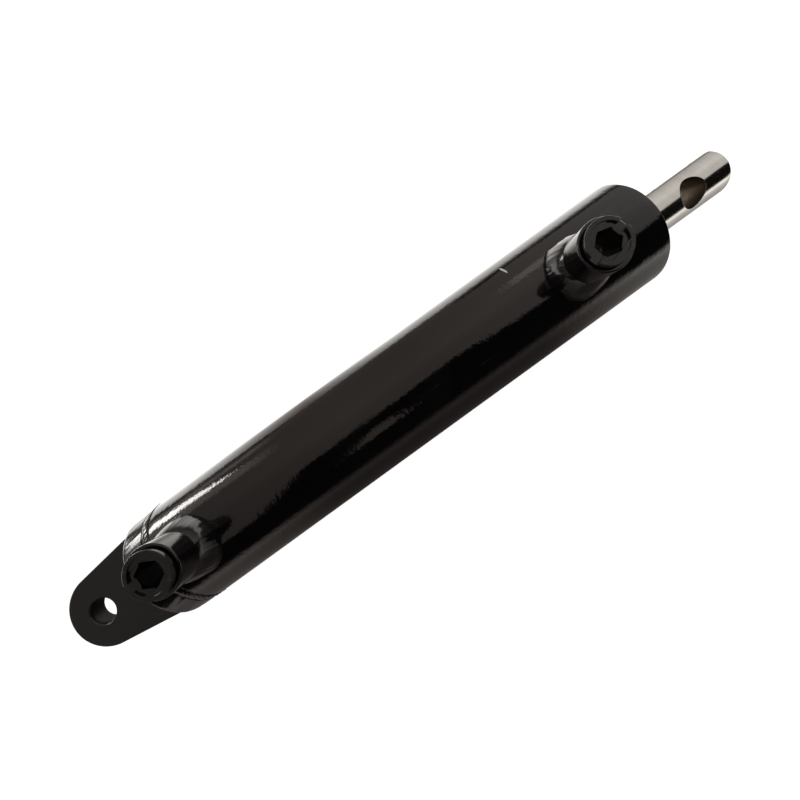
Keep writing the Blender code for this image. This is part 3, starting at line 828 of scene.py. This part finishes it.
def flat_ring(node, inner, rounding, body, slot, finish):
    """A ring of square section with rounded edges, as long and as wide as its CAD node."""
    low, high = (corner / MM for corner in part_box(node))
    corners = [
        (low.x, high.z, rounding),
        (high.x, high.z, rounding),
        (high.x, inner, rounding),
        (low.x, inner, rounding),
    ]
    ring = turned(node + "_ring", corners, finish, grain=1.0)
    finished(ring, body, slot, node)


# Rod


def rod_frame(x, lateral, height):
    """Points given along the rod, across its cross hole and along the hole, in the part's own axes."""
    across = np.array((0.0, math.cos(ROD_HOLE_TILT), math.sin(ROD_HOLE_TILT)))
    along = np.array((0.0, -math.sin(ROD_HOLE_TILT), math.cos(ROD_HOLE_TILT)))
    return x[..., None] * np.array((1.0, 0.0, 0.0)) + lateral[..., None] * across + height[..., None] * along


def rod_hole_rows(half_length, sides, ends):
    """Rings that lead from a rectangle wrapped on the rod, round its cross hole's rim, and down its wall."""
    quarter = math.pi / 2
    swing = np.linspace(-quarter, quarter, sides + 1)
    run = np.linspace(-1.0, 1.0, ends + 1)
    x = np.concatenate((np.ones(sides), -run[:-1], -np.ones(sides), run[:-1])) * half_length
    wrap = np.concatenate((swing[:-1], np.full(ends, quarter), swing[::-1][:-1], np.full(ends, -quarter)))
    turn = np.arctan2(wrap / quarter, x / half_length)
    rim = 0.35

    def on_rod(radius):
        return radius * np.cos(turn), np.arcsin(radius * np.sin(turn) / ROD_RADIUS)

    rim_x, rim_wrap = on_rod(ROD_HOLE_RADIUS + rim)
    rows = []
    for share in np.linspace(0.0, 1.0, 14):
        near = share**0.8
        here_x = x + (rim_x - x) * near
        here_wrap = wrap + (rim_wrap - wrap) * near
        rows.append((here_x, ROD_RADIUS * np.sin(here_wrap), ROD_RADIUS * np.cos(here_wrap)))
    edge_x = ROD_HOLE_RADIUS * np.cos(turn)
    edge_side = ROD_HOLE_RADIUS * np.sin(turn)
    edge_height = np.sqrt(ROD_RADIUS**2 - edge_side**2)
    corner = np.array((edge_x, edge_side, edge_height))
    wall = np.array((edge_x, edge_side, edge_height - rim))
    start = np.array(rows[-1])
    for share in np.linspace(0.0, 1.0, 6)[1:]:
        rows.append(tuple((1 - share) ** 2 * start + 2 * share * (1 - share) * corner + share**2 * wall))
    surface = len(rows) - 3
    for share in np.linspace(0.0, 1.0, 8)[1:]:
        rows.append((edge_x, edge_side, (edge_height - rim) * (1.0 - share)))
    full = rows + [(a, b, -c) for a, b, c in rows[-2::-1]]
    made = [rod_frame(a + ROD_HOLE_X, np.asarray(b), np.asarray(c)) for a, b, c in full]
    return np.array(made), surface


def rod_turning(corners, sides):
    """A turned stretch of the rod whose points match those beside the cross hole."""
    profile = spaced(rounded(corners, False), 2.0, False)
    swing = np.linspace(0.0, TAU, 2 * sides, endpoint=False)[None, :] - math.pi / 2
    x = np.repeat(profile[:, :1], 2 * sides, axis=1)
    radius = np.repeat(profile[:, 1:], 2 * sides, axis=1)
    return rod_frame(x, radius * np.sin(swing), radius * np.cos(swing))


def rod():
    sides = 96
    reach = 12.0
    thread_radius = 8.0
    thread_end = 76.3
    spigot = 9.0
    spigot_end = 104.3
    unplated_end = 104.5
    rear = [
        (ROD_REAR, 0.0, 0.0),
        (ROD_REAR, thread_radius, 0.8),
        (thread_end, thread_radius, 0.0),
        (thread_end, spigot, 0.2),
        (spigot_end, spigot, 0.1),
        (spigot_end, ROD_RADIUS, 0.6),
        (ROD_HOLE_X - reach, ROD_RADIUS, 0.0),
    ]
    front = [
        (ROD_HOLE_X + reach, ROD_RADIUS, 0.0),
        (ROD_TIP, ROD_RADIUS, 0.45),
        (ROD_TIP, 0.0, 0.0),
    ]
    rear_rows = rod_turning(rear, sides)
    front_rows = rod_turning(front, sides)
    hole_rows, surface = rod_hole_rows(reach, sides, 30)
    last = len(hole_rows) - 1
    parts = [
        (*skin(rear_rows, False), 0),
        (*skin(front_rows, False), 0),
        (*skin(hole_rows[: surface + 1], False), 0),
        (*skin(hole_rows[surface : last - surface + 1], False), 1),
        (*skin(hole_rows[last - surface :], False), 0),
    ]
    shaft = mesh_object("rod_shaft", parts, [CHROME, BORED, TURNED])
    for polygon in shaft.data.polygons:
        if polygon.center.x > (ROD_TIP - 0.2) * MM or polygon.center.x < unplated_end * MM:
            polygon.material_index = 2
    finished(shaft, "rod", "hard_chrome", "rod")


def piston():
    """The piston, with grooves for its seal and wear rings, and one in its bore."""
    rear, front = (corner.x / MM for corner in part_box("piston"))
    step = 22.0
    step_end = rear + 6.4
    bore = 9.3
    wear_bottom = 23.0
    corners = [(rear, step, 0.6), (step_end, step, 0.3), (step_end, LAND_RADIUS, 0.3)]
    corners += groove(85.5, 88.7, LAND_RADIUS, wear_bottom)
    corners += groove(91.0, 96.2, LAND_RADIUS, 20.6)
    corners += groove(98.3, 101.5, LAND_RADIUS, wear_bottom)
    corners += [(front, LAND_RADIUS, 0.8), (front, bore, 0.4)]
    corners += groove(95.0, 92.4, bore, 11.2)
    corners += [(rear, bore, 0.4)]
    finished(turned("piston_body", corners, IRON, grain=1.5), "rod", "ductile_iron", "piston")


def piston_nut():
    low, high = (corner.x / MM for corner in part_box("piston_nut"))
    flats = 24.0
    bore = 8.3
    corner = flats / math.sqrt(3)
    flat = corner - 0.9
    corners = [
        (low, bore, 0.0),
        (low, flat, 0.0),
        (low + 0.7, corner + 0.1, 0.0),
        (high - 0.7, corner + 0.1, 0.0),
        (high, flat, 0.0),
        (high, bore, 0.0),
    ]
    nut = turned("piston_nut_body", corners, ZINC, grain=4.0)
    reach = 40.0
    tools = []
    for side in range(6):
        swing = TAU * (side + 0.5) / 6
        away = flats / 2 + reach / 2
        place_at = ((low + high) / 2, -away * math.sin(swing), away * math.cos(swing))
        tools.append(box_cutter("flat", (reach, reach, reach), place_at, (swing, 0.0, 0.0)))
    cut(nut, tools, 0.1)
    finished(nut, "rod", "zinc_plate", "piston_nut")


# Gland


def gland():
    """The rod's bearing, with a thin nose, a hub inside the snap ring, and its seals' grooves."""
    rear, front = (corner.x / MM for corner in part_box("gland"))
    nose = 20.0
    nose_end = 316.0
    bore = ROD_RADIUS + 0.3
    shoulder = 348.6
    hub = 20.5
    wiper_seat = 17.2
    wiper_seat_x = 349.5
    corners = [(rear, nose, 0.6), (nose_end, nose, 0.4), (nose_end, LAND_RADIUS, 0.5)]
    corners += groove(321.0, 326.0, LAND_RADIUS, 21.5, 0.3)
    corners += [(shoulder, LAND_RADIUS, 0.3), (shoulder, hub, 0.3)]
    corners += [(front, hub, 0.7), (front, wiper_seat, 0.2)]
    corners += [(wiper_seat_x, wiper_seat, 0.2), (wiper_seat_x, bore, 0.1)]
    corners += groove(339.5, 333.5, bore, 17.0)
    corners += groove(329.0, 319.0, bore, 14.8)
    corners += [(rear, bore, 0.5)]
    body = turned("gland_body", corners, TURNED, grain=1.5, segments=192)
    finished(body, "barrel", "machined_steel", "gland")


def wiper_seal():
    """The scraper round the rod, whose lip leans out of the gland."""
    low, high = (corner.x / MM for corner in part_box("wiper_seal"))
    lip = ROD_RADIUS + 0.25
    corners = [
        (low, 16.9, 0.3),
        (high - 2.0, 16.9, 0.5),
        (high - 2.0, 14.9, 0.5),
        (high, 13.5, 0.25),
        (high - 0.15, lip, 0.15),
        (high - 2.2, lip + 0.35, 0.4),
        (low, lip + 0.2, 0.3),
    ]
    ring = turned("wiper_seal_ring", corners, POLYURETHANE, grain=0.5, segments=160)
    finished(ring, "barrel", "polyurethane", "wiper_seal")


def retaining_ring():
    """A snap ring with a gap below and a hole for the pliers at each end."""
    low, high = (corner.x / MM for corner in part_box("retaining_ring"))
    inner = 21.6
    outer = 25.9
    holes_radius = 23.7
    holes_apart = 7.2
    ring = turned(
        "snap_ring",
        [(low, outer, 0.2), (high, outer, 0.2), (high, inner, 0.2), (low, inner, 0.2)],
        SPRING,
        grain=0.8,
        segments=192,
    )
    middle = (low + high) / 2
    tools = [box_cutter("gap", (10.0, 9.0, 12.0), (middle, 0.0, -24.0))]
    for side in (-1, 1):
        spot = (middle, side * holes_apart, -math.sqrt(holes_radius**2 - holes_apart**2))
        tools.append(cutter("pliers_hole", 1.1, -5.0, 5.0, spot, (0.0, math.pi / 2, 0.0), 32))
    cut(ring, tools, 0.12)
    finished(ring, "barrel", "spring_steel", "retaining_ring")


def inner_rings():
    flat_ring("piston_seal", 20.9, 0.5, "piston_rings", "polyurethane", POLYURETHANE)
    for place_name in ("rear", "front"):
        node = f"piston_wear_ring_{place_name}"
        flat_ring(node, 23.3, 0.2, "piston_rings", "ptfe_bronze", PTFE_BRONZE)
    flat_ring("gland_backup_ring", 21.8, 0.2, "barrel", "ptfe_bronze", PTFE_BRONZE)
    flat_ring("rod_guide_ring", 12.8, 0.3, "barrel", "ptfe_bronze", PTFE_BRONZE)
    flat_ring("rod_seal", 12.8, 0.6, "barrel", "polyurethane", POLYURETHANE)
    seal_ring("gland_seal", 23.2, 2.8, 322.7, "barrel", "seal_rubber", RUBBER)
    seal_ring("piston_bore_seal", 10.1, 1.6, 93.7, "rod", "seal_rubber", RUBBER)


# Studio


def studio_floor():
    """A plain white floor. Most of its brightness is its own glow, so the shadow on it stays light."""
    made, tree, shader = new_material("floor_white")
    shader.inputs["Base Color"].default_value = (0.82, 0.82, 0.82, 1.0)
    shader.inputs["Roughness"].default_value = 0.9
    shader.inputs["Specular IOR Level"].default_value = 0.0
    shader.inputs["Emission Color"].default_value = (1.0, 1.0, 1.0, 1.0)
    shader.inputs["Emission Strength"].default_value = 0.80
    bpy.ops.mesh.primitive_plane_add(size=30.0, location=(0.2, 0.0, cad_lowest()))
    floor = bpy.context.object
    floor.name = "floor"
    floor.data.materials.append(made)
    floor.visible_glossy = False


def cad_lowest():
    return min(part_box(node)[0].z for node in frame["nodes"])


def stops_round(*pairs):
    """Ramp stops from (tilt in degrees, level) pairs."""
    return [((degrees + 180.0) / 360.0, level) for degrees, level in pairs]


def stops_along(*pairs):
    """Ramp stops from (share of the direction along X, level or colour) pairs."""
    return [((along + 1.0) / 2.0, level) for along, level in pairs]


def patch(tree, along, tilt, reach, turn, soft=2.0):
    """1 inside a patch of directions between two shares along X and two tilts, 0 outside it."""
    (near, far), (low, high) = reach, turn
    degrees_a_radian = 57.0
    edge = soft / degrees_a_radian
    return times(
        tree,
        span(tree, along, near - edge, near + edge),
        span(tree, along, far + edge, far - edge),
        span(tree, tilt, low - soft, low + soft),
        span(tree, tilt, high + soft, high - soft),
    )


def mirrored_ceiling(tree, along, tilt, place_round, wander):
    """A dim ceiling with a ragged edge, brighter towards the rod, and a thin dark line at each end."""
    side = ((-112, 0.30), (-98, 0.34), (-80, 0.42), (-60, 0.5))
    overhead = ((-35, 0.57), (-15, 0.48), (40, 0.44))
    level = ramp(tree, place_round, stops_round(*side, *overhead))
    near_end = span(tree, along, -0.75, -0.15, 0.52, 1.0, False)
    far_end = span(tree, along, 0.1, 0.75, 1.0, 1.5, False)
    limit = calc(
        tree,
        "ADD",
        span(tree, along, -0.3, -0.5, 1.0, 30.0),
        span(tree, along, 0.2, 0.45, 0.0, 12.0),
    )
    limit = calc(tree, "ADD", limit, calc(tree, "MULTIPLY", wander, 14.0))
    ends_here = span(tree, calc(tree, "SUBTRACT", tilt, limit), -1.5, 4.0, 1.0, 0.01)
    line = patch(tree, along, tilt, (-0.8, -0.3), (-112.0, -108.0), 1.5)
    ragged = calc(tree, "ADD", tilt, calc(tree, "MULTIPLY", wander, 8.0))
    far_line = patch(tree, along, ragged, (0.3, 0.9), (-106.0, -99.0), 1.5)
    dark = calc(tree, "MAXIMUM", line, far_line)
    gap = calc(tree, "SUBTRACT", 1.0, calc(tree, "MULTIPLY", dark, 0.8))
    return times(tree, level, near_end, far_end, ends_here, gap)


def mirrored_low_side(tree, along, place_round):
    level = ramp(
        tree,
        place_round,
        stops_round((72, 0.0), (78, 0.14), (85, 0.25), (93, 0.16), (104, 0.11), (128, 0.07), (180, 0.06)),
    )
    near_end = span(tree, along, -0.25, -0.6, 1.0, 2.8)
    far_end = span(tree, along, 0.4, 0.72, 1.0, 6.0)
    return times(tree, level, near_end, far_end)


def mirrored_floor(tree, along, tilt):
    level = ramp(
        tree,
        span(tree, along, -1.0, 1.0, smooth=False),
        stops_along((-0.56, 1.0), (-0.36, 0.4), (-0.22, 0.16), (-0.05, 0.55), (0.09, 0.95), (0.6, 0.85)),
    )
    return times(tree, span(tree, tilt, -109.0, -118.0), level, 2.0)


def mirrored_strip(tree, along, tilt):
    """A white strip light over the lug end, which tapers to a point towards the middle."""
    top = span(tree, along, -0.44, -0.56, -77.0, -92.0, False)
    below_top = calc(tree, "SUBTRACT", tilt, top)
    above_foot = calc(tree, "SUBTRACT", -78.0, tilt)
    inside = calc(tree, "MINIMUM", below_top, above_foot)
    return times(tree, span(tree, inside, 0.0, 1.6), span(tree, along, -0.72, -0.66), 14.0)


def mirrored_lens(tree, along, tilt):
    """A low arch of light on the dark side, flat below and round above."""
    flat = 39.0
    across = calc(tree, "DIVIDE", calc(tree, "ADD", along, 0.09), 0.105)
    rise = times(tree, calc(tree, "SUBTRACT", 1.0, calc(tree, "POWER", across, 2.0)), 18.0)
    below = calc(tree, "SUBTRACT", flat, tilt)
    above = calc(tree, "SUBTRACT", tilt, calc(tree, "SUBTRACT", flat, rise))
    return times(tree, span(tree, calc(tree, "MINIMUM", below, above), 0.0, 1.5), 0.43)


def glossy_surroundings(tree):
    """What the paint and the chrome mirror, by direction.

    It is a dim warm ceiling, a dark side, a pale floor, a white strip and a few faint glows.

    tilt is the direction's angle round the cylinder, 0 overhead, positive to the side of -Y, in degrees.
    """
    direction = add(tree, "ShaderNodeTexCoord", {}).outputs["Generated"]
    parts = add(tree, "ShaderNodeSeparateXYZ", {"Vector": direction}).outputs
    along = parts["X"]
    tilt = calc(tree, "ARCTAN2", calc(tree, "MULTIPLY", parts["Y"], -1.0), parts["Z"])
    tilt = calc(tree, "MULTIPLY", tilt, 180.0 / math.pi)
    wander = calc(tree, "SUBTRACT", noise(tree, direction, 120.0, 3.0), 0.5)
    place_round = span(tree, tilt, -180.0, 180.0, smooth=False)

    floor = mirrored_floor(tree, along, tilt)
    strip = mirrored_strip(tree, along, tilt)
    total = mirrored_ceiling(tree, along, tilt, place_round, wander)
    glows = [
        (patch(tree, along, tilt, (-0.8, -0.36), (-101.0, -92.0)), 0.45),
        (patch(tree, along, tilt, (-0.8, -0.38), (-76.0, -61.0), 3.0), 0.55),
        (patch(tree, along, tilt, (0.42, 0.6), (-62.0, -48.0)), 0.8),
        (patch(tree, along, tilt, (0.09, 0.13), (26.0, 28.0), 0.7), 0.12),
        (patch(tree, along, tilt, (0.25, 0.29), (46.0, 48.0), 0.7), 0.10),
    ]
    lights = [mirrored_low_side(tree, along, place_round), floor, strip, mirrored_lens(tree, along, tilt)]
    for more in lights + [calc(tree, "MULTIPLY", shape, level) for shape, level in glows]:
        total = calc(tree, "ADD", total, more)
    room = ramp(
        tree,
        span(tree, along, -1.0, 1.0, smooth=False),
        stops_along(
            (-0.7, (1.08, 0.97, 0.93)),
            (-0.35, (1.15, 0.97, 0.88)),
            (0.45, (1.13, 0.97, 0.90)),
            (0.62, (1.05, 0.99, 0.93)),
        ),
    )
    white = span(tree, calc(tree, "ADD", floor, strip), 0.0, 0.8)
    tint = blend_colours(tree, white, room, (1.02, 1.0, 0.96))
    return tint, total


def studio_world():
    """White all round for soft light. Only mirrored light sees the room in glossy_surroundings."""
    world = bpy.data.worlds.new("studio")
    bpy.context.scene.world = world
    world.use_nodes = True
    world.cycles.sampling_method = "NONE"
    tree = world.node_tree
    tree.nodes.clear()
    ray = add(tree, "ShaderNodeLightPath", {}).outputs
    soft = span(tree, ray["Is Camera Ray"], 0.0, 1.0, 0.4, 1.0, False)
    plain = add(tree, "ShaderNodeBackground", {"Color": (1.0, 1.0, 1.0, 1.0), "Strength": soft})
    tint, level = glossy_surroundings(tree)
    mirrored = add(tree, "ShaderNodeBackground", {"Color": tint, "Strength": level})
    mixed = add(tree, "ShaderNodeMixShader", {0: ray["Is Glossy Ray"]})
    join(tree, mixed.inputs[1], plain.outputs[0])
    join(tree, mixed.inputs[2], mirrored.outputs[0])
    output = add(tree, "ShaderNodeOutputWorld", {})
    join(tree, output.inputs["Surface"], mixed.outputs[0])


def studio_camera():
    """The view from above the middle of the cylinder, turned so that it lies across the picture."""
    lens = bpy.data.cameras.new("camera")
    lens.sensor_width = 36.0
    lens.lens = 15.356  # millimetres
    lens.clip_start = 0.005
    lens.clip_end = 100.0
    view = bpy.data.objects.new("camera", lens)
    view.location = Vector((199.18, -3.89, 193.18)) * MM
    view.rotation_euler = [math.radians(degrees) for degrees in (0.722, 0.173, -35.905)]
    bpy.context.scene.collection.objects.link(view)
    bpy.context.scene.camera = view


def main():
    barrel_tube()
    end_cap()
    end_cap_weld()
    lug_plate()
    lug_weld("lug_weld_upper", 1)
    lug_weld("lug_weld_lower", -1)
    for side, station in PORTS.items():
        port_boss(side, station)
        port_weld(side, station)
        port_plug(side, station)
        seal_ring(f"{side}_plug_seal", 8.35, 1.5, 52.65, f"{side}_plug_ring", "seal_rubber", RUBBER, station)
    rod()
    piston()
    piston_nut()
    gland()
    wiper_seal()
    retaining_ring()
    inner_rings()
    studio_floor()
    studio_world()
    studio_camera()
    bpy.context.scene.view_settings.view_transform = "Standard"
    bpy.context.scene.view_settings.look = "None"


main()
